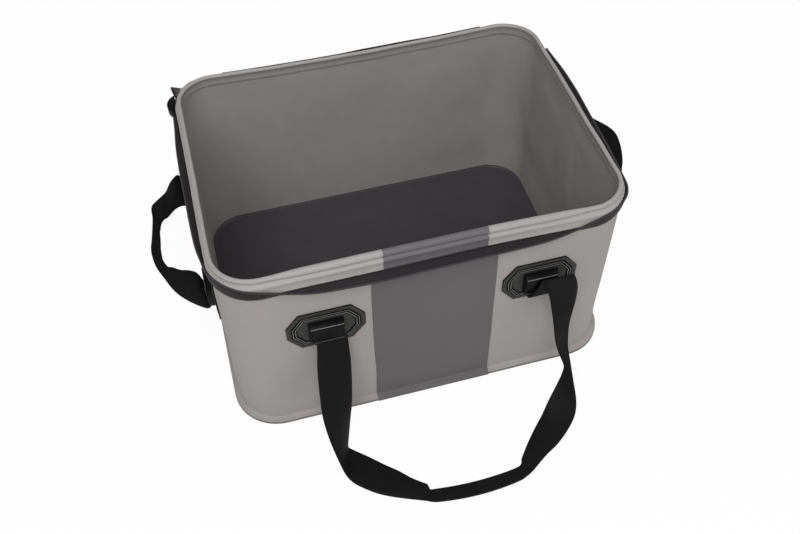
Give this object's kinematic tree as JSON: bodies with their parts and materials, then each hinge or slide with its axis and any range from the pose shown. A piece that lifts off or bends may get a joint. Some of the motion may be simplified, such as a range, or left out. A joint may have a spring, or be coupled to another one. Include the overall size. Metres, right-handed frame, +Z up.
{
  "type": "fishing bag",
  "caption": "Open-topped welded box bag with rolled rim, webbing carry and grab handles in moulded patches, and a zipped lid thrown back.",
  "frame": {"origin": "centre of the base's resting face", "axes": "+Z up, the front wall with the dark centre panel faces -Y, +X to the right seen from the front"},
  "size_m": [0.519, 0.6634, 0.2301],
  "materials": {
    "light_sheet": "matte welded EVA sheet, light warm grey",
    "light_piping": "smooth satin rolled hem, light grey",
    "dark_sheet": "matte dark grey EVA sheet",
    "floor_sheet": "fine-grained near-black EVA sheet",
    "base_sheet": "matte grey EVA sheet",
    "board": "plain stiffening board",
    "foam": "closed-cell foam",
    "rod": "extruded round rod",
    "zip_tape": "fine twill zip tape, charcoal",
    "zip_coil": "nylon coil",
    "patch_plastic": "semi-gloss moulded black PVC",
    "metal_dark": "black coated zinc",
    "steel": "plain steel pin",
    "webbing": "tight black polypropylene webbing"
  },
  "bodies": {
    "root": {"wall_shell": "light_sheet", "base_sheet": "base_sheet", "base_board": "board", "floor_liner": "floor_sheet", "front_centre_panel": "dark_sheet", "rim_hem_light": "light_piping", "rim_hem_centre": "dark_sheet", "rim_rod": "rod", "zip_tape_body": "zip_tape", "zip_coil_body": "zip_coil", "zip_end_cap_left": "patch_plastic", "zip_end_cap_right": "patch_plastic", "hinge_tape": "zip_tape", "front_patch_plates": "patch_plastic", "front_patch_bridges": "patch_plastic", "front_strap_bars": "steel", "front_strap_ends": "webbing", "rear_patch_plates": "patch_plastic", "rear_patch_bridges": "patch_plastic", "rear_strap_bars": "steel", "rear_strap_ends": "webbing", "left_patch_plates": "patch_plastic", "left_patch_bridges": "patch_plastic", "left_strap_bars": "steel", "left_strap_ends": "webbing", "right_patch_plates": "patch_plastic", "right_patch_bridges": "patch_plastic", "right_strap_bars": "steel", "right_strap_ends": "webbing"},
    "lid": {"lid_liner": "light_sheet", "lid_foam_core": "foam", "lid_sheet": "light_sheet", "lid_centre_panel": "dark_sheet", "lid_piping": "light_piping", "zip_tape_lid": "zip_tape", "zip_coil_lid": "zip_coil", "lid_hinge_strip": "zip_tape"},
    "zip_slider": {"zip_slider": "metal_dark", "zip_slider_crown": "metal_dark"},
    "zip_pull": {"zip_pull": "metal_dark"},
    "front_handle": {"front_handle_webbing": "webbing"},
    "rear_handle": {"rear_handle_webbing": "webbing"},
    "left_handle": {"left_handle_webbing": "webbing"},
    "right_handle": {"right_handle_webbing": "webbing"}
  },
  "joints": [
    {"name": "lid_hinge", "type": "hinge", "parent": "root", "child": "lid", "pos_m": [0, 0.1545, 0.2295], "axis": [1, 0, 0], "range_deg": [0, 227]},
    {"name": "zip_slide", "type": "slide", "parent": "lid", "child": "zip_slider", "axis": [0, -0.6807, 0.7325], "range_m": [0, 0.186]},
    {"name": "zip_pull_swing", "type": "hinge", "parent": "zip_slider", "child": "zip_pull", "pos_m": [-0.2129, 0.32518, 0.05024], "axis": [0, 0.7325, 0.6807], "range_deg": [0, 180]},
    {"name": "front_handle_lift", "type": "hinge", "parent": "root", "child": "front_handle", "pos_m": [0, -0.1592, 0.13], "axis": [-1, 0, 0], "range_deg": [0, 125]},
    {"name": "rear_handle_lift", "type": "hinge", "parent": "root", "child": "rear_handle", "pos_m": [0, 0.1592, 0.13], "axis": [1, 0, 0], "range_deg": [0, 12]},
    {"name": "left_handle_swing", "type": "hinge", "parent": "root", "child": "left_handle", "pos_m": [-0.2092, 0, 0.13], "axis": [0, 1, 0], "range_deg": [-75, 60]},
    {"name": "right_handle_swing", "type": "hinge", "parent": "root", "child": "right_handle", "pos_m": [0.2092, 0, 0.13], "axis": [0, -1, 0], "range_deg": [-75, 60]}
  ]
}
